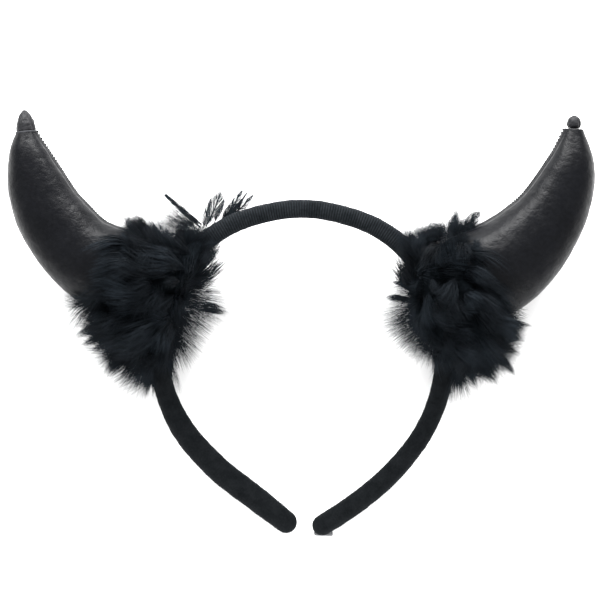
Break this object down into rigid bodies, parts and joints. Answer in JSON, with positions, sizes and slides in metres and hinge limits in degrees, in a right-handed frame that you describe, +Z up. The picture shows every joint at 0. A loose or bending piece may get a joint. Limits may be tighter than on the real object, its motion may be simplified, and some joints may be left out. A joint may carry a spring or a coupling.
{
  "type": "devil horns headband",
  "caption": "Padded cloth hoop headband with stuffed satin devil horns and a black feather ruff round the foot of each horn, lying on its back.",
  "frame": {"origin": "on the surface that the headband lies on, under the middle of its bounding box", "axes": "+X from the left horn to the right horn as the picture shows them, +Y from the leg ends to the crown, +Z up"},
  "size_m": [0.2646, 0.1902, 0.0583],
  "materials": {
    "velvet": "matte black velvety cloth, finely ribbed across the crown",
    "satin": "soft satin sheen, faintly mottled",
    "tip_cloth": "matte dark cloth",
    "feather": "fluffy black down",
    "fold_cloth": "pale grey cloth"
  },
  "bodies": {
    "root": {"headband": "velvet", "horn_left": "satin", "horn_right": "satin", "horn_tip_left": "tip_cloth", "horn_tip_right": "tip_cloth", "ruff_left": "feather", "ruff_right": "feather", "end_fold_right": "fold_cloth"}
  },
  "joints": []
}
